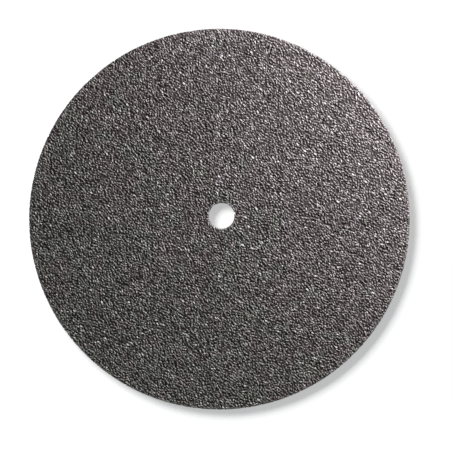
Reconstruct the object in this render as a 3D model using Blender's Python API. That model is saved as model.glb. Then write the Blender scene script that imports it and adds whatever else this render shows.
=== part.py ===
"""Bonded-abrasive cut-off wheel for a small rotary tool, lying flat with its axis upright.

The wheel is one pressed piece of grain and resin: two gritty faces whose tallest grains the
press has levelled, a punched rim with small bites where grains broke away, and a plain bore
for an arbor screw. Sizes are in metres. The origin is the centre of the lower face, +Z is the
axis and the wheel rests on z = 0.
"""

import math

import bpy
import numpy as np
from mathutils import Vector
from mathutils.geometry import delaunay_2d_cdt

# The wheel
WHEEL_DIAMETER = 0.0240
WHEEL_THICKNESS = 0.00064
BORE_DIAMETER = 0.00164
BORE_OFFSET_X = 0.00012  # the bore is punched a little off the middle of the rim
BORE_OFFSET_Y = 0.00021

# Its punched edges
RIM_POINTS_PER_QUARTER = 56
BORE_POINTS_PER_QUARTER = 8
UPPER_EDGE_ROUND = 0.00006  # where the punch draws the face down with it
LOWER_EDGE_BREAK = 0.00003  # where the punch leaves
ROUND_STEPS = 2
RIM_BITE_DEPTH = 0.00003  # deepest bite that a lost grain leaves
BORE_BITE_DEPTH = 0.00002
BITE_ROWS = 3  # grains through the thickness
BORE_CHIP_DEPTH = 0.00004  # a grain gone from the bore's right-hand side
BORE_CHIP_ANGLE = math.radians(8)
BORE_CHIP_SPREAD = math.radians(9)

# The grit of its faces
GRAINS_PER_FACE = 2250
LEVELLED_SHARE = 0.5  # grains that the press plate reached
GAP_DEPTH = 0.00007  # deepest hollow between them
GRAIN_SCATTER = 0.32  # how far a grain strays from an even spacing, as a share of it
GRAIN_SEED = 11

GOLDEN_ANGLE = math.pi * (3 - math.sqrt(5))
MILLIMETRES = 1000  # the triangulation works best near unit size
SAME_POINT = float(np.finfo(np.float32).eps)
INSIDE_RIM = 1  # the triangulation's number for leaving out what lies past the rim
GRAIN_CREASE = math.radians(8)

GRIT_COLOUR = (0.105, 0.099, 0.097, 1.0)
GRIT_ROUGHNESS = 0.48


def clear_scene():
    for obj in list(bpy.data.objects):
        bpy.data.objects.remove(obj, do_unlink=True)


def grit_material():
    material = bpy.data.materials.new("bonded_grit")
    material.use_nodes = True
    shader = material.node_tree.nodes["Principled BSDF"]
    shader.inputs["Base Color"].default_value = GRIT_COLOUR
    shader.inputs["Roughness"].default_value = GRIT_ROUGHNESS
    shader.inputs["Metallic"].default_value = 0.0
    return material


def edge_profile():
    """(inset, height) of a punched edge, from the upper face down to the lower one."""
    profile = []
    for step in range(ROUND_STEPS + 1):
        turn = 0.5 * math.pi * step / ROUND_STEPS
        inset = UPPER_EDGE_ROUND * (1 - math.sin(turn))
        drop = UPPER_EDGE_ROUND * (1 - math.cos(turn))
        profile.append((inset, WHEEL_THICKNESS - drop))
    profile.append((0.0, 0.5 * WHEEL_THICKNESS))
    profile.append((0.0, LOWER_EDGE_BREAK))
    profile.append((LOWER_EDGE_BREAK, 0.0))
    return profile


def ring_angles(points):
    return np.arange(points) * 2 * math.pi / points


def grain_bites(points, depth, random):
    """How much is gone at each point of an edge, in rows down its wall.

    The points on the X and Y axes lose nothing, so the edge measures its full diameter.
    """
    bites = depth * random.random((BITE_ROWS, points)) ** 2
    bites[:, :: points // 4] = 0.0
    return bites


def bore_chip(points):
    """The depth of the one larger chip at each point round the bore."""
    away = (ring_angles(points) - BORE_CHIP_ANGLE + math.pi) % (2 * math.pi) - math.pi
    return BORE_CHIP_DEPTH * np.exp(-((away / BORE_CHIP_SPREAD) ** 2))


def punched_edge(centre, radius, side, bites):
    """Rings of points down a punched edge: side is 1 on the rim and -1 in the bore."""
    points = bites.shape[1]
    angles = ring_angles(points)
    rings = []
    for inset, height in edge_profile():
        row = min(BITE_ROWS - 1, int(BITE_ROWS * (1 - height / WHEEL_THICKNESS)))
        reach = radius - side * (inset + bites[row])
        x = centre[0] + reach * np.cos(angles)
        y = centre[1] + reach * np.sin(angles)
        rings.append(np.column_stack((x, y, np.full(points, height))))
    return rings


def scattered_grains(bore_centre, random):
    """Places of one face's grains: an even spiral, each grain strayed a little from it."""
    edge = 0.5 * WHEEL_DIAMETER - UPPER_EDGE_ROUND - RIM_BITE_DEPTH
    spacing = edge * math.sqrt(math.pi / GRAINS_PER_FACE)
    order = np.arange(GRAINS_PER_FACE) + 0.5
    reach = edge * np.sqrt(order / GRAINS_PER_FACE)
    x = reach * np.cos(order * GOLDEN_ANGLE)
    y = reach * np.sin(order * GOLDEN_ANGLE)
    strays = GRAIN_SCATTER * spacing * random.uniform(-1, 1, (GRAINS_PER_FACE, 2))
    places = np.column_stack((x, y)) + strays
    from_bore = np.hypot(*(places - bore_centre).T)
    bore_edge = 0.5 * BORE_DIAMETER + UPPER_EDGE_ROUND + BORE_BITE_DEPTH + BORE_CHIP_DEPTH
    on_face = np.hypot(*places.T) < edge - 0.5 * spacing
    off_bore = from_bore > bore_edge + 0.5 * spacing
    return places[on_face & off_bore]


def spans_bore(triangle, first, last):
    """Whether a triangle lies in the bore, whose points are numbered from first to last.

    Its corners then go round the same way as the bore's own ring.
    """
    turned = min(range(3), key=lambda corner: triangle[corner])
    a, b, c = (triangle[(turned + step) % 3] for step in range(3))
    return first <= a < b < c < last


def gritty_face(rim_ring, bore_ring, bore_centre, height, inward, random):
    """The grains of one face, and triangles that join them to the rings round the face.

    inward is -1 on the upper face and 1 on the lower one: the way to the hollows. The
    triangles number the rim's ring first, then the bore's, then the grains.
    """
    places = scattered_grains(bore_centre, random)
    depths = GAP_DEPTH * random.random(len(places))
    depths[random.random(len(places)) < LEVELLED_SHARE] = 0.0
    grains = np.column_stack((places, height + inward * depths))
    points = np.vstack((rim_ring, bore_ring, grains))
    rim, bore = len(rim_ring), len(bore_ring)
    edges = [(i, (i + 1) % rim) for i in range(rim)]
    edges += [(rim + i, rim + (i + 1) % bore) for i in range(bore)]
    plan = [Vector(point) for point in points[:, :2] * MILLIMETRES]
    triangles = delaunay_2d_cdt(plan, edges, [], INSIDE_RIM, SAME_POINT)[2]
    triangles = [t for t in triangles if not spans_bore(t, rim, rim + bore)]
    if inward > 0:
        triangles = [triangle[::-1] for triangle in triangles]
    return grains, triangles


def wall_faces(rings, outward):
    """Quads between neighbouring rings, each ring being a row of point numbers."""
    faces = []
    for upper, lower in zip(rings, rings[1:]):
        for a, b, c, d in zip(upper, lower, np.roll(lower, -1), np.roll(upper, -1)):
            faces.append((a, b, c, d) if outward else (d, c, b, a))
    return faces


def wheel_mesh():
    """The whole closed surface, as points and faces."""
    random = np.random.default_rng(GRAIN_SEED)
    bore_centre = (BORE_OFFSET_X, BORE_OFFSET_Y)
    rim_bites = grain_bites(4 * RIM_POINTS_PER_QUARTER, RIM_BITE_DEPTH, random)
    bore_bites = grain_bites(4 * BORE_POINTS_PER_QUARTER, BORE_BITE_DEPTH, random)
    bore_bites += bore_chip(4 * BORE_POINTS_PER_QUARTER)
    rim = punched_edge((0.0, 0.0), 0.5 * WHEEL_DIAMETER, 1, rim_bites)
    bore = punched_edge(bore_centre, 0.5 * BORE_DIAMETER, -1, bore_bites)
    upper_grains, upper = gritty_face(rim[0], bore[0], bore_centre, WHEEL_THICKNESS, -1, random)
    lower_grains, lower = gritty_face(rim[-1], bore[-1], bore_centre, 0.0, 1, random)

    # Points are numbered down the rim's rings, down the bore's, then over each face's grains
    groups = (np.vstack(rim), np.vstack(bore), upper_grains, lower_grains)
    ends = np.cumsum([len(group) for group in groups])
    rim_rings = np.arange(ends[0]).reshape(len(rim), -1)
    bore_rings = np.arange(ends[0], ends[1]).reshape(len(bore), -1)
    upper_points = np.r_[rim_rings[0], bore_rings[0], ends[1] : ends[2]]
    lower_points = np.r_[rim_rings[-1], bore_rings[-1], ends[2] : ends[3]]

    faces = wall_faces(rim_rings, True) + wall_faces(bore_rings, False)
    faces += [tuple(upper_points[list(triangle)]) for triangle in upper]
    faces += [tuple(lower_points[list(triangle)]) for triangle in lower]
    return np.vstack(groups), faces


def abrasive_disc():
    points, faces = wheel_mesh()
    mesh = bpy.data.meshes.new("abrasive_disc")
    mesh.from_pydata(points.tolist(), [], faces)
    mesh.shade_smooth()
    mesh.set_sharp_from_angle(angle=GRAIN_CREASE)
    mesh.materials.append(grit_material())
    disc = bpy.data.objects.new("abrasive_disc", mesh)
    bpy.context.scene.collection.objects.link(disc)


def main():
    clear_scene()
    abrasive_disc()


if __name__ == "__main__":
    main()
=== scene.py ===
"""A small cut-off wheel dressed in resin and abrasive grain, on a white table.

The wheel's size, outline and relief come from the frame. The resin is that surface drawn in
a little. Grains are scattered over the same surface, bedded in it and trimmed to the
wheel's outline, so that the wheel keeps its form. All lengths are in metres.
"""

import math

import bmesh
import bpy
import numpy as np
from bpy.props import FloatProperty, FloatVectorProperty, IntProperty, PointerProperty
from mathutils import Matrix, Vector


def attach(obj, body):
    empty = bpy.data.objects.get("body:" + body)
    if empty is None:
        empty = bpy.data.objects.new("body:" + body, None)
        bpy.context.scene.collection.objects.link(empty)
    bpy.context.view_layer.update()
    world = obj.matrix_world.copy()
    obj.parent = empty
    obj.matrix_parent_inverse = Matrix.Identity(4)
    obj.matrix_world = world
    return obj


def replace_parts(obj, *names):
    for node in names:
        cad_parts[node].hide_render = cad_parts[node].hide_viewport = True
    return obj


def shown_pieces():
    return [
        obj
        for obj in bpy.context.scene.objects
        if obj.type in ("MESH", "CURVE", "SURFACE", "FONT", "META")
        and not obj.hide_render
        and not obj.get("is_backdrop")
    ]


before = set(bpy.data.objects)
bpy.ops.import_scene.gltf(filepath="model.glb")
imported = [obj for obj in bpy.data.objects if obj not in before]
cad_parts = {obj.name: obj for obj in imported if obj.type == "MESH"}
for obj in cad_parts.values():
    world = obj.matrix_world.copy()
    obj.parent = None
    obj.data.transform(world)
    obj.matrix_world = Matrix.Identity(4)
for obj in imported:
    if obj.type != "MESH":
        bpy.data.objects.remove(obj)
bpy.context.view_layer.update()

bl_info = {
    "name": "Cut-off wheel",
    "version": (1, 0, 0),
    "blender": (4, 5, 0),
    "location": "View3D > Sidebar > Cut-off wheel",
    "description": "Dresses a pressed abrasive wheel in resin and grain, and lights it",
    "category": "Object",
}

# The wheel in the frame
NODE = "abrasive_disc"
BODY = "root"
RADIUS = 0.5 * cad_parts[NODE].dimensions.x
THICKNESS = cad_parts[NODE].dimensions.z

# Its faces and edges
MERGE_DISTANCE = 1e-7
FACE_TILT = 0.5  # a face whose normal rises less than this belongs to an edge of the wheel
BORE_REACH = 0.5  # what lies within this share of the radius belongs to the bore

# The scatter of the grain
CRYSTALS = 16  # different crystals
FIRST_CRYSTAL_SEED = 100
SEED_STEP = 10  # from the scatter of one place to that of the next
CROWDING = 8.0  # trial points in each square of the spacing's side
ANY_WAY = math.pi  # how far a grain in an edge may turn
IN_PLAN = (1.0, 1.0, 0.0)  # keeps what lies along X and Y
TONE = "grain_tone"
NUMBER = "grain_number"
BAKE_MAP = "OFBake"
MAP_REACH = 0.42  # how far a grain reaches on the map from the middle of its square

# The grain's finish; a noise's scale is its number of cells in a metre
COMMON_STARTS, COMMON_ENDS = 0.45, 0.93  # darker grain comes before them and paler grain after
# Places of the plum, brown and olive tints on a ramp that gives both the random patches of stains
# and the painted lamp tint
STAIN_AND_LAMP_TINT_PLACES = (0.2, 0.5, 0.8)
PAINTED_LAMP_TINT_DRIFT = (-19.0, -22.0, 0.0)  # painted lamp tint: how fast the tint changes along X and Y, towards plum on the grit lamp's side at the upper right and olive on the far side
PATCHES, PATCH_DETAIL = 900.0, 2.0
PATCH_CONTRAST = 1.7
FRACTURES, FRACTURE_DETAIL = 30000.0, 2.0
FRACTURE_RANGE = (0.3, 0.7)  # the noise's values at the glossiest and the dullest grain
FRACTURE_DEPTH, FRACTURE_STRENGTH = 0.000004, 0.4
ROUGHNESS_RANGE = 0.1
GRAIN_IOR = 2.0

# The resin's finish
SWELLS, SWELL_DETAIL = 6000.0, 3.0
DUST_CLOUDS, DUST_DETAIL = 2500.0, 4.0
DUST_RANGE = (0.35, 0.65)  # the noise's values in clear and in clouded resin
PORES, PORE_DETAIL = 20000.0, 3.0
PORE_DEPTH, PORE_STRENGTH = 0.000006, 0.5
RESIN_ROUGHNESS_RANGE = 0.12

# The table
WHITE = (1.0, 1.0, 1.0, 1.0)
TABLE_SIDE = 1.0
TABLE_COLOUR = (0.8, 0.8, 0.8, 1)
SEEN_TABLE_COLOUR = (0.5, 0.5, 0.5, 1)
SHADOW_COLOUR = (0.980, 0.988, 1.0, 1)
GLOW_STARTS = 0.015  # past the shadow the table whitens, so that its far side is white too
GLOW_FULL = 0.045

# The lamps; an azimuth runs from +X towards +Y, the picture's right and top
GRIT_LAMP_AZIMUTH = math.radians(42)
GRIT_LAMP_HEIGHT = math.radians(24)
GRIT_LAMP_DISTANCE = 0.0375
GRIT_LAMP_SIDE = 0.0246
TABLE_LAMP_AZIMUTH = math.radians(136.5)
TABLE_LAMP_HEIGHT = math.radians(41.3)
TABLE_LAMP_DISTANCE = 0.078
TABLE_LAMP_WIDTH = 0.050
TABLE_LAMP_DEPTH = 0.027
TABLE_LAMP_AIM = (0.012, -0.012, 0.0)

# The camera
LENS = 100.0  # in millimetres, like the sensor's width
SENSOR = 36.0
AIM = (0.000409, -0.000434)
NEAREST, FARTHEST = 0.1, 100.0  # what it sees, in multiples of its distance


def length(name, description, default, top):
    return FloatProperty(
        name=name, description=description, default=default, min=0.0, max=top,
        subtype="DISTANCE", unit="LENGTH", precision=6,
    )


def angle(name, description, default):
    return FloatProperty(name=name, description=description, default=default, subtype="ANGLE")


def share(name, description, default, top=1.0):
    return FloatProperty(name=name, description=description, default=default, min=0.0, max=top)


def colour(name, description, default):
    return FloatVectorProperty(
        name=name, description=description, default=default, size=3, min=0.0, max=1.0,
        subtype="COLOR",
    )


class GrainSettings(bpy.types.PropertyGroup):
    """Sizes and colours of the abrasive grain"""

    spacing: length("Spacing", "Least distance between neighbouring grains", 0.00013, 0.001)
    reach: length("Grain size", "Half the length of the largest grain", 0.00019, 0.001)
    smallest: share("Smallest grain", "The smallest grain, as a share of the largest", 0.7)
    breadth: share("Breadth", "Breadth of a grain as a share of its length", 0.47)
    height: share("Height", "Height of a grain as a share of its length", 0.45)
    stray: share("Irregularity", "How far a crystal's corners stray", 0.45)
    face_bed: share("Bed in the faces", "Depth of a grain's middle as a share of its reach", 0.35)
    edge_bed: share("Bed in the edges", "The same for the rim and the bore", 0.3)
    evening: share("Evening", "How much of the face's relief the grains even out", 0.75)
    unevenness: length("Unevenness", "How much deeper the lowest grains lie", 0.00002, 0.001)
    roll: angle("Roll", "How far a grain in a face rolls about its length", math.radians(37))
    pitch: angle("Pitch", "How far its ends tip up or down", math.radians(9))
    lie: angle("Lie", "Direction in which the pressed grains tend to lie", math.radians(-45))
    spread: angle("Spread", "How far the grains turn from that direction", math.radians(43))
    edge_width: length("Edge width", "How far from the rim its edges are rounded", 0.00018, 0.001)
    chip_gap: length("Chip", "How far round the bore's chip the grain is gone", 0.00012, 0.001)
    seed: IntProperty(name="Seed", description="Another seed, another scatter", default=5)
    dark: colour("Dark grain", "The darkest grains", (0.081, 0.081, 0.081))
    common: colour("Common grain", "Most of the grains", (0.178, 0.178, 0.178))
    pale: colour("Pale grain", "The few clear grains", (0.250, 0.250, 0.250))
    # These three tints give the random patches of stains and also a painted lamp tint: plum on
    # the grit lamp's side, olive on the far side
    plum: colour("Plum stain", "Tint of the grain on one side", (1.0, 0.820, 0.870))
    brown: colour("Brown stain", "Its tint in the middle", (1.0, 0.860, 0.853))
    olive: colour("Olive stain", "Its tint on the other side", (0.950, 0.968, 0.865))
    # Painted sheen as well as rim abrasion: the grain is painted paler towards the rim all round,
    # standing in for light caught by the rounded edge
    rim_wear_and_sheen: share("Worn rim", "How much paler the grain is at the rim", 0.15)
    rim_wear_and_sheen_width: length("Width of the wear", "How far in from the rim it reaches", 0.0018, 0.01)
    roughness: share("Roughness", "Roughness of the grains' facets", 0.5)


class ResinSettings(bpy.types.PropertyGroup):
    """Size and colour of the resin that binds the grain"""

    face_recess: length("Recess", "How far it lies under the wheel's faces", 0.00007, 0.001)
    edge_recess: length("Recess in the edges", "The same for rim and bore", 0.00004, 0.001)
    swell: length("Waviness", "How much its surface rises and falls", 0.000015, 0.001)
    tone: colour("Resin", "Colour of the clear resin", (0.0305, 0.020, 0.019))
    dust: colour("Dust", "Its colour where grain dust clouds it", (0.0505, 0.0375, 0.0362))
    roughness: share("Roughness", "Roughness of the resin's skin", 0.55)


class StageSettings(bpy.types.PropertyGroup):
    """The table, the lamps and the camera"""

    fill: share("Fill", "Light of the white room on the wheel", 0.155, 4.0)
    grit_light: share("Grit lamp", "Light of the lamp that rakes the grit", 0.945, 4.0)
    table_light: share("Table lamp", "Light of the lamp that casts the shadow", 1.15, 4.0)
    table_glow: share("Glow", "How much of the table's white the camera sees in shadow", 0.451)
    view_width: length("View", "Width of the picture at the wheel", 0.028402, 1.0)


def socket(sockets, name):
    """The socket that shows under this name."""
    return next(s for s in sockets if s.name == name and s.enabled)


def first_output(node):
    return next(s for s in node.outputs if s.enabled)


class Tree:
    """A node tree under construction: nodes are added with their links and values."""

    def __init__(self, tree):
        self.tree = tree

    def feed(self, target, value):
        if isinstance(value, bpy.types.NodeSocket):
            self.tree.links.new(value, target)
        elif isinstance(value, bpy.types.Node):
            self.tree.links.new(first_output(value), target)
        else:
            target.default_value = value

    def add(self, kind, settings=None, **inputs):
        """Adds a node whose inputs are given by name."""
        node = self.tree.nodes.new(kind)
        for key, value in (settings or {}).items():
            setattr(node, key, value)
        for key, value in inputs.items():
            self.feed(socket(node.inputs, key.replace("_", " ")), value)
        return node

    def join(self, kind, *values, **settings):
        """Adds a node whose inputs are given in their order."""
        node = self.add(kind, settings)
        for target, value in zip(node.inputs, values):
            self.feed(target, value)
        return node

    def math(self, operation, *values):
        return self.join("ShaderNodeMath", *values, operation=operation).outputs[0]

    def vector(self, operation, *values, scale=None):
        node = self.join("ShaderNodeVectorMath", *values, operation=operation)
        if scale is not None:
            self.feed(node.inputs["Scale"], scale)
        return first_output(node)

    def measure(self, operation, *values):
        """A vector operation whose result is a number."""
        node = self.join("ShaderNodeVectorMath", *values, operation=operation)
        return node.outputs["Value"]

    def noise(self, scale, detail, **inputs):
        return self.add("ShaderNodeTexNoise", Scale=scale, Detail=detail, **inputs)

    def random(self, kind, low, high, seed):
        node = self.add("FunctionNodeRandomValue", {"data_type": kind})
        for name, value in (("Min", low), ("Max", high), ("Seed", seed)):
            self.feed(socket(node.inputs, name), value)
        return first_output(node)

    def finish(self, geometry, material):
        """Gives the geometry its material and hands it out of the tree."""
        finished = self.add("GeometryNodeSetMaterial", Geometry=geometry, Material=material)
        self.add("NodeGroupOutput", Geometry=finished)


def tree_with(name, sockets):
    """A new geometry tree with these inputs, its nodes and its inputs' sockets by name."""
    tree = bpy.data.node_groups.new(name, "GeometryNodeTree")
    for socket_name, kind in sockets.items():
        tree.interface.new_socket(socket_name, in_out="INPUT", socket_type="NodeSocket" + kind)
    tree.interface.new_socket("Geometry", in_out="OUTPUT", socket_type="NodeSocketGeometry")
    node = tree.nodes.new("NodeGroupInput")
    return tree, Tree(tree), {key: node.outputs[key] for key in sockets}


def shaped_by(tree, obj, values):
    """The mesh that the tree makes of an object, which itself stays as it was."""
    modifier = obj.modifiers.new(tree.name, "NODES")
    modifier.node_group = tree
    names = {item.name: item.identifier for item in tree.interface.items_tree}
    for name, value in values.items():
        modifier[names[name]] = value
    evaluated = obj.evaluated_get(bpy.context.evaluated_depsgraph_get())
    mesh = bpy.data.meshes.new_from_object(evaluated)
    obj.modifiers.remove(modifier)
    if not mesh.polygons:
        raise RuntimeError(f"{tree.name} made nothing on {obj.name}")
    return mesh


def crystals(nodes, value):
    """Irregular crystals of unit reach, each one an instance.

    The corners of a cube or of an octahedron stray over an ellipsoid and are wrapped in
    their convex hull. Every other pair is coated in resin, so that its corners look round.
    """
    axes = nodes.add("ShaderNodeCombineXYZ", X=1.0, Y=value["Breadth"], Z=value["Height"])
    shapes = nodes.add("GeometryNodeGeometryToInstance")
    for number in range(CRYSTALS):
        if number % 2:
            blank = nodes.add("GeometryNodeMeshCube", Size=(1.0, 1.0, 1.0))
        else:
            blank = nodes.add("GeometryNodeMeshUVSphere", Segments=4, Rings=2, Radius=1.0)
        place = nodes.vector("NORMALIZE", nodes.add("GeometryNodeInputPosition"))
        seed = nodes.math("ADD", value["Seed"], float(FIRST_CRYSTAL_SEED + number))
        stray = nodes.random("FLOAT_VECTOR", (-1.0, -1.0, -1.0), (1.0, 1.0, 1.0), seed)
        stray = nodes.vector("SCALE", stray, scale=value["Irregularity"])
        corner = nodes.vector("NORMALIZE", nodes.vector("ADD", place, stray))
        corner = nodes.vector("MULTIPLY", corner, axes)
        moved = nodes.add("GeometryNodeSetPosition", Geometry=blank, Position=corner)
        hull = nodes.add("GeometryNodeConvexHull", Geometry=moved)
        coated = number % 4 < 2
        shaded = nodes.add("GeometryNodeSetShadeSmooth", Geometry=hull, Shade_Smooth=coated)
        nodes.feed(shapes.inputs["Geometry"], shaded)
    return shapes


def kept_in_form(nodes, value):
    """Each point's place, moved as little as it takes to lie inside the wheel's outline.

    The outline is rounded at the rim's upper and lower edge.
    """
    parts = nodes.add("ShaderNodeSeparateXYZ", Vector=nodes.add("GeometryNodeInputPosition"))
    flat = nodes.add("ShaderNodeCombineXYZ", X=parts.outputs["X"], Y=parts.outputs["Y"], Z=0.0)
    reach = nodes.measure("LENGTH", flat)

    inset = nodes.math("SUBTRACT", value["Radius"], reach)
    near = nodes.add(
        "ShaderNodeMapRange", Value=inset, From_Max=value["Edge width"], To_Min=1.0, To_Max=0.0,
    )
    chord = nodes.math("SQRT", nodes.math("SUBTRACT", 1.0, nodes.math("POWER", near, 2.0)))
    rounding = nodes.math("MULTIPLY", value["Edge width"], nodes.math("SUBTRACT", 1.0, chord))
    height = nodes.math("MAXIMUM", parts.outputs["Z"], rounding)
    height = nodes.math("MINIMUM", height, nodes.math("SUBTRACT", value["Thickness"], rounding))

    draw = nodes.math("DIVIDE", value["Radius"], reach)
    flat = nodes.vector("SCALE", flat, scale=nodes.math("MINIMUM", draw, 1.0))
    off = nodes.vector("SUBTRACT", flat, value["Bore"])
    push = nodes.math("DIVIDE", value["Bore radius"], nodes.measure("LENGTH", off))
    off = nodes.vector("SCALE", off, scale=nodes.math("MAXIMUM", push, 1.0))
    flat = nodes.vector("ADD", value["Bore"], off)
    return nodes.vector("ADD", flat, nodes.add("ShaderNodeCombineXYZ", X=0.0, Y=0.0, Z=height))


def grain_tree():
    """Crystals bedded in a surface, none of them past the wheel's outline."""
    tree, nodes, value = tree_with("Bedded grain", {
        "Surface": "Geometry", "Spacing": "Float", "Reach": "Float", "Smallest": "Float",
        "Breadth": "Float", "Height": "Float", "Irregularity": "Float", "Bed": "Float",
        "Level": "Float", "Evening": "Float", "Unevenness": "Float", "Roll": "Float",
        "Pitch": "Float", "Lie": "Float", "Spread": "Float",
        "Edge width": "Float", "Radius": "Float", "Thickness": "Float", "Bore": "Vector",
        "Bore radius": "Float", "Chip": "Vector", "Chip gap": "Float", "Seed": "Int",
        "Material": "Material",
    })

    def seed(step):
        return nodes.math("ADD", value["Seed"], float(step))

    # Where the grains lie
    crowd = nodes.math("DIVIDE", CROWDING, nodes.math("POWER", value["Spacing"], 2.0))
    scatter = nodes.add(
        "GeometryNodeDistributePointsOnFaces", {"distribute_method": "POISSON"},
        Mesh=value["Surface"], Distance_Min=value["Spacing"], Density_Max=crowd,
        Seed=value["Seed"],
    )
    place = nodes.add("ShaderNodeSeparateXYZ", Vector=nodes.add("GeometryNodeInputPosition"))
    lack = nodes.math("SUBTRACT", value["Level"], place.outputs["Z"])
    lift = nodes.math("MULTIPLY", lack, value["Evening"])
    lift = nodes.add("ShaderNodeCombineXYZ", X=0.0, Y=0.0, Z=lift)
    evened = nodes.add(
        "GeometryNodeSetPosition", Geometry=scatter.outputs["Points"], Offset=lift,
    )

    # How deep they are bedded
    size = nodes.random("FLOAT", value["Smallest"], 1.0, seed(1))
    reach = nodes.math("MULTIPLY", value["Reach"], size)
    chance = nodes.random("FLOAT", 0.0, 1.0, seed(2))
    lower = nodes.math("MULTIPLY", value["Unevenness"], chance)
    depth = nodes.math("MULTIPLY_ADD", reach, value["Bed"], lower)
    inward = nodes.math("MULTIPLY", depth, -1.0)
    sunk = nodes.vector("SCALE", scatter.outputs["Normal"], scale=inward)
    bedded = nodes.add("GeometryNodeSetPosition", Geometry=evened, Offset=sunk)

    # How they lie, with none where the bore is chipped
    from_chip = nodes.vector("SUBTRACT", nodes.add("GeometryNodeInputPosition"), value["Chip"])
    from_chip = nodes.measure("LENGTH", nodes.vector("MULTIPLY", from_chip, IN_PLAN))
    rolled_back = nodes.math("MULTIPLY", value["Roll"], -1.0)
    pitched_back = nodes.math("MULTIPLY", value["Pitch"], -1.0)
    low_turn = nodes.math("SUBTRACT", value["Lie"], value["Spread"])
    high_turn = nodes.math("ADD", value["Lie"], value["Spread"])
    least = nodes.add("ShaderNodeCombineXYZ", X=rolled_back, Y=pitched_back, Z=low_turn)
    most = nodes.add("ShaderNodeCombineXYZ", X=value["Roll"], Y=value["Pitch"], Z=high_turn)
    grains = nodes.add(
        "GeometryNodeInstanceOnPoints", Points=bedded, Pick_Instance=True,
        Selection=nodes.math("GREATER_THAN", from_chip, value["Chip gap"]),
        Instance=crystals(nodes, value),
        Instance_Index=nodes.random("INT", 0, CRYSTALS - 1, seed(4)),
        Rotation=nodes.random("FLOAT_VECTOR", least, most, seed(3)), Scale=reach,
    )

    # What each of them carries for its colour and its place on the map
    named = "GeometryNodeStoreNamedAttribute"
    toned = nodes.add(
        named, {"data_type": "FLOAT", "domain": "INSTANCE"},
        Geometry=grains, Name=TONE, Value=nodes.random("FLOAT", 0.0, 1.0, seed(5)),
    )
    numbered = nodes.add(
        named, {"data_type": "INT", "domain": "INSTANCE"},
        Geometry=toned, Name=NUMBER, Value=nodes.add("GeometryNodeInputIndex"),
    )

    solid = nodes.add("GeometryNodeRealizeInstances", Geometry=numbered)
    kept = kept_in_form(nodes, value)
    trimmed = nodes.add("GeometryNodeSetPosition", Geometry=solid, Position=kept)
    nodes.finish(trimmed, value["Material"])
    return tree


def resin_tree():
    """A surface drawn in under the grain, subdivided and a little wavy."""
    tree, nodes, value = tree_with("Resin skin", {
        "Surface": "Geometry", "Face recess": "Float", "Edge recess": "Float",
        "Swell": "Float", "Material": "Material",
    })
    finer = nodes.add("GeometryNodeSubdivideMesh", Mesh=value["Surface"], Level=1)
    normal = nodes.add("GeometryNodeInputNormal")
    parts = nodes.add("ShaderNodeSeparateXYZ", Vector=normal)
    upright = nodes.math("ABSOLUTE", parts.outputs["Z"])
    recess = nodes.add(
        "ShaderNodeMapRange", Value=upright,
        To_Min=value["Edge recess"], To_Max=value["Face recess"],
    )
    waves = nodes.noise(SWELLS, SWELL_DETAIL)
    wave = nodes.math("MULTIPLY_ADD", first_output(waves), 2.0, -1.0)
    rise = nodes.math("MULTIPLY", wave, value["Swell"])
    rise = nodes.math("SUBTRACT", rise, first_output(recess))
    offset = nodes.vector("SCALE", normal, scale=rise)
    drawn = nodes.add("GeometryNodeSetPosition", Geometry=finer, Offset=offset)
    smooth = nodes.add("GeometryNodeSetShadeSmooth", Geometry=drawn, Shade_Smooth=True)
    nodes.finish(smooth, value["Material"])
    return tree


def new_object(name, data):
    obj = bpy.data.objects.new(name, data)
    bpy.context.scene.collection.objects.link(obj)
    return obj


def drop(obj):
    mesh = obj.data
    bpy.data.objects.remove(obj, do_unlink=True)
    bpy.data.meshes.remove(mesh)


def piece(name, mesh):
    mesh.name = name
    obj = new_object(name, mesh)
    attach(obj, BODY)
    return obj


def far_out(face):
    return face.calc_center_median().xy.length > BORE_REACH * RADIUS


def rises(face):
    return face.normal.z > FACE_TILT


def falls(face):
    return face.normal.z < -FACE_TILT


def rim(face):
    return abs(face.normal.z) <= FACE_TILT and far_out(face)


def bore(face):
    return abs(face.normal.z) <= FACE_TILT and not far_out(face)


def surface(name, belongs=None):
    """A carrier with the node's faces that belong, merged into a connected surface."""
    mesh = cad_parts[NODE].data.copy()
    shape = bmesh.new()
    shape.from_mesh(mesh)
    bmesh.ops.remove_doubles(shape, verts=shape.verts, dist=MERGE_DISTANCE)
    if belongs:
        apart = [face for face in shape.faces if not belongs(face)]
        bmesh.ops.delete(shape, geom=apart, context="FACES")
    shape.to_mesh(mesh)
    shape.free()
    return new_object(name, mesh)


def points_of(mesh):
    points = np.empty(3 * len(mesh.vertices), np.float32)
    mesh.vertices.foreach_get("co", points)
    return points.reshape(-1, 3)


def bore_form():
    """The centre and the least radius of the bore, and the place of its deepest chip."""
    wall = surface("bore_wall", bore)
    used = np.unique([corner for face in wall.data.polygons for corner in face.vertices])
    flat = points_of(wall.data)[used, :2]
    drop(wall)
    centre = 0.5 * (flat.min(axis=0) + flat.max(axis=0))
    reach = np.linalg.norm(flat - centre, axis=1)
    return [*centre.tolist(), 0.0], float(reach.min()), [*flat[reach.argmax()].tolist(), 0.0]


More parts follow.
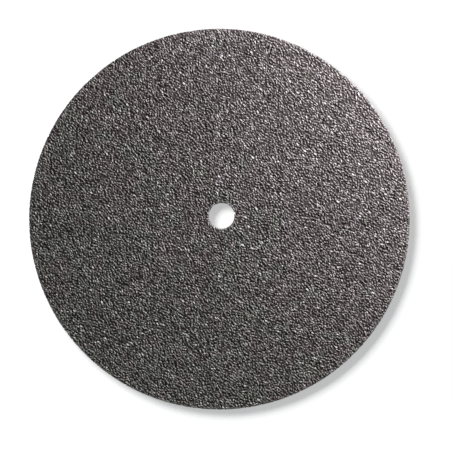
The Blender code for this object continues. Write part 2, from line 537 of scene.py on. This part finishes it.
def map_grains(mesh):
    """Gives every grain a square of its own on the bake's map."""
    corners = np.empty(len(mesh.loops), np.int32)
    mesh.loops.foreach_get("vertex_index", corners)
    number = np.empty(len(mesh.vertices), np.int32)
    mesh.attributes[NUMBER].data.foreach_get("value", number)
    grains = number.max() + 1
    held = np.bincount(number, minlength=grains)
    places = points_of(mesh)
    centre = np.column_stack([np.bincount(number, places[:, k]) / held for k in range(2)])
    local = places[:, :2] - centre[number]
    widest = np.zeros(grains)
    np.maximum.at(widest, number, np.abs(local).max(axis=1))
    side = math.ceil(math.sqrt(grains))
    square = np.column_stack((number % side, number // side))
    spots = (square + 0.5 + MAP_REACH * local / widest[number][:, None]) / side
    layer = mesh.uv_layers.new(name=BAKE_MAP)
    layer.data.foreach_set("uv", spots[corners].astype(np.float32).ravel())
    mesh.attributes.remove(mesh.attributes[NUMBER])


def principled(name):
    material = bpy.data.materials.new(name)
    material.use_nodes = True
    nodes = Tree(material.node_tree)
    return material, nodes, material.node_tree.nodes["Principled BSDF"]


def ramp(nodes, source, stops):
    node = nodes.add("ShaderNodeValToRGB", Fac=source)
    elements = node.color_ramp.elements
    while len(elements) < len(stops):
        elements.new(1.0)
    for element, (place, tint) in zip(elements, stops):
        element.position = place
        element.color = (*tint, 1.0)
    return node


def dull_unevenly(nodes, shader, noise, limits, roughness, spread):
    """Makes the finish glossier where the noise is low and duller where it is high."""
    low, high = limits
    dull = nodes.add(
        "ShaderNodeMapRange", Value=noise, From_Min=low, From_Max=high,
        To_Min=roughness - spread, To_Max=roughness + spread,
    )
    nodes.feed(shader.inputs["Roughness"], dull)


def roughen(nodes, shader, noise, depth, strength):
    bump = nodes.add("ShaderNodeBump", Strength=strength, Distance=depth, Height=noise)
    nodes.feed(shader.inputs["Normal"], bump)


def grain_material(settings):
    """Grain from dark to clear, with random patches of stains, a painted lamp tint from plum on
    the grit lamp's side to olive on the far side, and painted paler towards the rim, partly as
    rim abrasion and partly as painted sheen.

    Its surface is finely broken.
    """
    material, nodes, shader = principled("abrasive_grain")
    tone = nodes.add("ShaderNodeAttribute", {"attribute_name": TONE}).outputs["Fac"]
    grain = ramp(nodes, tone, (
        (0.0, settings.dark), (COMMON_STARTS, settings.common),
        (COMMON_ENDS, settings.common), (1.0, settings.pale),
    ))
    where = nodes.add("ShaderNodeTexCoord").outputs["Object"]
    patch = nodes.noise(PATCHES, PATCH_DETAIL, Vector=where)
    # Painted lamp tint: the tint leans to plum towards the grit lamp at the upper right and to
    # olive away from it
    lamp_tint_drift = nodes.measure("DOT_PRODUCT", where, PAINTED_LAMP_TINT_DRIFT)
    middle = nodes.math("ADD", lamp_tint_drift, 0.5 - 0.5 * PATCH_CONTRAST)
    place = nodes.math("MULTIPLY_ADD", first_output(patch), PATCH_CONTRAST, middle)
    tints = (settings.plum, settings.brown, settings.olive)
    stain_and_lamp_tint = ramp(nodes, place, tuple(zip(STAIN_AND_LAMP_TINT_PLACES, tints)))
    stained_and_lamp_tinted = nodes.add(
        "ShaderNodeMix", {"data_type": "RGBA", "blend_type": "MULTIPLY"},
        Factor=1.0, A=grain, B=stain_and_lamp_tint,
    )
    # Painted sheen as well as rim abrasion: the grain is painted paler over the last stretch
    # before the rim, standing in for light caught by the rounded edge
    out = nodes.measure("LENGTH", nodes.vector("MULTIPLY", where, IN_PLAN))
    paler = nodes.add(
        "ShaderNodeMapRange", Value=out, From_Min=RADIUS - settings.rim_wear_and_sheen_width,
        From_Max=RADIUS, To_Min=1.0, To_Max=1.0 + settings.rim_wear_and_sheen,
    )
    worn_and_sheened = nodes.vector("SCALE", stained_and_lamp_tinted, scale=paler)
    nodes.feed(shader.inputs["Base Color"], worn_and_sheened)
    broken = nodes.noise(FRACTURES, FRACTURE_DETAIL, Vector=where)
    dull_unevenly(nodes, shader, broken, FRACTURE_RANGE, settings.roughness, ROUGHNESS_RANGE)
    roughen(nodes, shader, broken, FRACTURE_DEPTH, FRACTURE_STRENGTH)
    shader.inputs["IOR"].default_value = GRAIN_IOR
    return material


def resin_material(settings):
    """Dark resin, glossier where it ran clear and duller where fine dust clouds it."""
    material, nodes, shader = principled("resin")
    where = nodes.add("ShaderNodeTexCoord").outputs["Object"]
    clouds = nodes.noise(DUST_CLOUDS, DUST_DETAIL, Vector=where)
    tint = ramp(nodes, clouds, tuple(zip(DUST_RANGE, (settings.tone, settings.dust))))
    nodes.feed(shader.inputs["Base Color"], tint)
    dull_unevenly(nodes, shader, clouds, DUST_RANGE, settings.roughness, RESIN_ROUGHNESS_RANGE)
    pores = nodes.noise(PORES, PORE_DETAIL, Vector=where)
    roughen(nodes, shader, pores, PORE_DEPTH, PORE_STRENGTH)
    return material


class WHEEL_OT_resin(bpy.types.Operator):
    """Make the resin that binds the grain, in the form of the wheel"""

    bl_idname = "wheel.resin"
    bl_label = "Resin"

    def execute(self, context):
        settings = context.scene.wheel_resin
        carrier = surface("resin_carrier")
        mesh = shaped_by(resin_tree(), carrier, {
            "Face recess": settings.face_recess,
            "Edge recess": settings.edge_recess,
            "Swell": settings.swell,
            "Material": resin_material(settings),
        })
        drop(carrier)
        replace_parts(piece("resin_bond", mesh), NODE)
        return {"FINISHED"}


class WHEEL_OT_grain(bpy.types.Operator):
    """Bed the abrasive grain in both faces and in the edges of the rim and the bore"""

    bl_idname = "wheel.grain"
    bl_label = "Grain"

    def execute(self, context):
        settings = context.scene.wheel_grain
        tree = grain_tree()
        material = grain_material(settings)
        bore_centre, bore_radius, chip = bore_form()
        places = (
            ("upper_grain", rises, THICKNESS), ("lower_grain", falls, 0.0),
            ("rim_grain", rim, None), ("bore_grain", bore, None),
        )
        for number, (name, belongs, level) in enumerate(places):
            face = level is not None
            carrier = surface(name + "_carrier", belongs)
            mesh = shaped_by(tree, carrier, {
                "Spacing": settings.spacing,
                "Reach": settings.reach,
                "Smallest": settings.smallest,
                "Breadth": settings.breadth,
                "Height": settings.height,
                "Irregularity": settings.stray,
                "Bed": settings.face_bed if face else settings.edge_bed,
                "Level": level if face else 0.0,
                "Evening": settings.evening if face else 0.0,
                "Unevenness": settings.unevenness,
                "Roll": settings.roll if face else ANY_WAY,
                "Pitch": settings.pitch if face else ANY_WAY,
                "Lie": settings.lie,
                "Spread": settings.spread if face else ANY_WAY,
                "Edge width": settings.edge_width,
                "Radius": RADIUS,
                "Thickness": THICKNESS,
                "Bore": bore_centre,
                "Bore radius": bore_radius,
                "Chip": chip,
                "Chip gap": settings.chip_gap,
                "Seed": settings.seed + SEED_STEP * number,
                "Material": material,
            })
            drop(carrier)
            map_grains(mesh)
            piece(name, mesh)
        return {"FINISHED"}


class WHEEL_OT_stage(bpy.types.Operator):
    """Set up the white table, the lamps, the room's light and the camera"""

    bl_idname = "wheel.stage"
    bl_label = "Stage"

    def execute(self, context):
        settings = context.scene.wheel_stage
        table = white_table(settings.table_glow)
        room_light(settings.fill)
        add_lamps(settings, table)
        add_camera(settings)
        context.scene.view_settings.view_transform = "Standard"
        return {"FINISHED"}


def sees_white(nodes, *kinds):
    """1 for the kinds of rays that see plain white, and 0 for all others."""
    path = nodes.add("ShaderNodeLightPath")
    white = path.outputs[kinds[0]]
    for kind in kinds[1:]:
        white = nodes.math("MAXIMUM", white, path.outputs[kind])
    return white


def table_material(shadow_glow):
    """A diffuse white, in which camera, glossy and transmission rays see a faint glow too.

    The glow is weakest near the wheel, where it sets how deep the shadow looks.
    """
    material = bpy.data.materials.new("white_table")
    material.use_nodes = True
    material.node_tree.nodes.clear()
    nodes = Tree(material.node_tree)
    where = nodes.add("ShaderNodeTexCoord").outputs["Object"]
    strength = nodes.add(
        "ShaderNodeMapRange", {"interpolation_type": "SMOOTHSTEP"},
        Value=nodes.measure("LENGTH", where), From_Min=GLOW_STARTS, From_Max=GLOW_FULL,
        To_Min=shadow_glow, To_Max=1.0,
    )
    glow = nodes.add("ShaderNodeEmission", Color=SHADOW_COLOUR, Strength=strength)
    bright = nodes.add("ShaderNodeBsdfDiffuse", Color=SEEN_TABLE_COLOUR)
    seen = nodes.join("ShaderNodeAddShader", bright, glow)
    plain = nodes.add("ShaderNodeBsdfDiffuse", Color=TABLE_COLOUR)
    white = sees_white(nodes, "Is Camera Ray", "Is Glossy Ray", "Is Transmission Ray")
    mix = nodes.join("ShaderNodeMixShader", white, plain, seen)
    nodes.add("ShaderNodeOutputMaterial", Surface=mix)
    return material


def white_table(shadow_glow):
    mesh = bpy.data.meshes.new("table")
    half = 0.5 * TABLE_SIDE
    corners = [(-half, -half, 0), (half, -half, 0), (half, half, 0), (-half, half, 0)]
    mesh.from_pydata(corners, [], [(0, 1, 2, 3)])
    mesh.materials.append(table_material(shadow_glow))
    table = new_object("table", mesh)
    table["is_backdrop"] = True
    return table


def room_light(fill):
    """A white room that gives the wheel less light than its white would.

    The wheel's gloss doesn't see the white either, which would turn its dark grit grey.
    """
    world = bpy.data.worlds.new("white_room")
    bpy.context.scene.world = world
    world.use_nodes = True
    world.node_tree.nodes.clear()
    nodes = Tree(world.node_tree)
    white = sees_white(nodes, "Is Camera Ray", "Is Transmission Ray")
    strength = nodes.math("MAXIMUM", white, fill)
    room = nodes.add("ShaderNodeBackground", Color=WHITE, Strength=strength)
    nodes.add("ShaderNodeOutputWorld", Surface=room)


def towards(azimuth, height):
    level = math.cos(height)
    return Vector((math.cos(azimuth) * level, math.sin(azimuth) * level, math.sin(height)))


def lamp(name, azimuth, height, distance, size, light, lit, aim=(0, 0, 0), even=False):
    """A broad lamp that gives this light to a level surface at the wheel.

    It lights only the objects in lit. An even lamp's light doesn't fall off with distance.
    """
    data = bpy.data.lights.new(name, "AREA")
    data.shape = "RECTANGLE"
    data.size, data.size_y = size
    data.energy = light * (math.pi * distance) ** 2 / math.sin(height)
    if even:
        data.use_nodes = True
        nodes = Tree(data.node_tree)
        falloff = nodes.add("ShaderNodeLightFalloff", Strength=1 / distance**2)
        emission = data.node_tree.nodes["Emission"]
        nodes.feed(emission.inputs["Strength"], falloff.outputs["Constant"])
    obj = new_object(name, data)
    obj.location = distance * towards(azimuth, height)
    away = obj.location - Vector(aim)
    obj.rotation_euler = away.to_track_quat("Z", "Y").to_euler()
    group = bpy.data.collections.new(name + "_lights")
    for other in lit:
        group.objects.link(other)
    obj.light_linking.receiver_collection = group


def add_lamps(settings, table):
    lamp(
        "table_lamp", TABLE_LAMP_AZIMUTH, TABLE_LAMP_HEIGHT, TABLE_LAMP_DISTANCE,
        (TABLE_LAMP_WIDTH, TABLE_LAMP_DEPTH), settings.table_light, [table],
        aim=TABLE_LAMP_AIM, even=True,
    )
    lamp(
        "grit_lamp", GRIT_LAMP_AZIMUTH, GRIT_LAMP_HEIGHT, GRIT_LAMP_DISTANCE,
        (GRIT_LAMP_SIDE, GRIT_LAMP_SIDE), settings.grit_light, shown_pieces(),
    )


def add_camera(settings):
    data = bpy.data.cameras.new("camera")
    data.lens = LENS
    data.sensor_width = SENSOR
    camera = new_object("camera", data)
    distance = settings.view_width * LENS / SENSOR
    camera.location = (*AIM, THICKNESS + distance)
    data.clip_start = NEAREST * distance
    data.clip_end = FARTHEST * distance
    bpy.context.scene.camera = camera


class WHEEL_PT_panel(bpy.types.Panel):
    """The wheel's sizes, colours and steps"""

    bl_idname = "WHEEL_PT_panel"
    bl_label = "Cut-off wheel"
    bl_space_type = "VIEW_3D"
    bl_region_type = "UI"
    bl_category = "Cut-off wheel"

    def draw(self, context):
        for name in GROUPS:
            group = getattr(context.scene, name)
            box = self.layout.box()
            for key in group.bl_rna.properties.keys():
                if key not in ("rna_type", "name"):
                    box.prop(group, key)
        for step in STEPS:
            self.layout.operator(step.bl_idname)


STEPS = (WHEEL_OT_resin, WHEEL_OT_grain, WHEEL_OT_stage)
GROUPS = {
    "wheel_resin": ResinSettings,
    "wheel_grain": GrainSettings,
    "wheel_stage": StageSettings,
}
CLASSES = (*GROUPS.values(), *STEPS, WHEEL_PT_panel)


def register():
    for kind in CLASSES:
        bpy.utils.register_class(kind)
    for name, group in GROUPS.items():
        setattr(bpy.types.Scene, name, PointerProperty(type=group))


def unregister():
    for name in GROUPS:
        delattr(bpy.types.Scene, name)
    for kind in reversed(CLASSES):
        bpy.utils.unregister_class(kind)


def main():
    register()
    bpy.ops.wheel.resin()
    bpy.ops.wheel.grain()
    bpy.ops.wheel.stage()


if __name__ == "__main__":
    main()
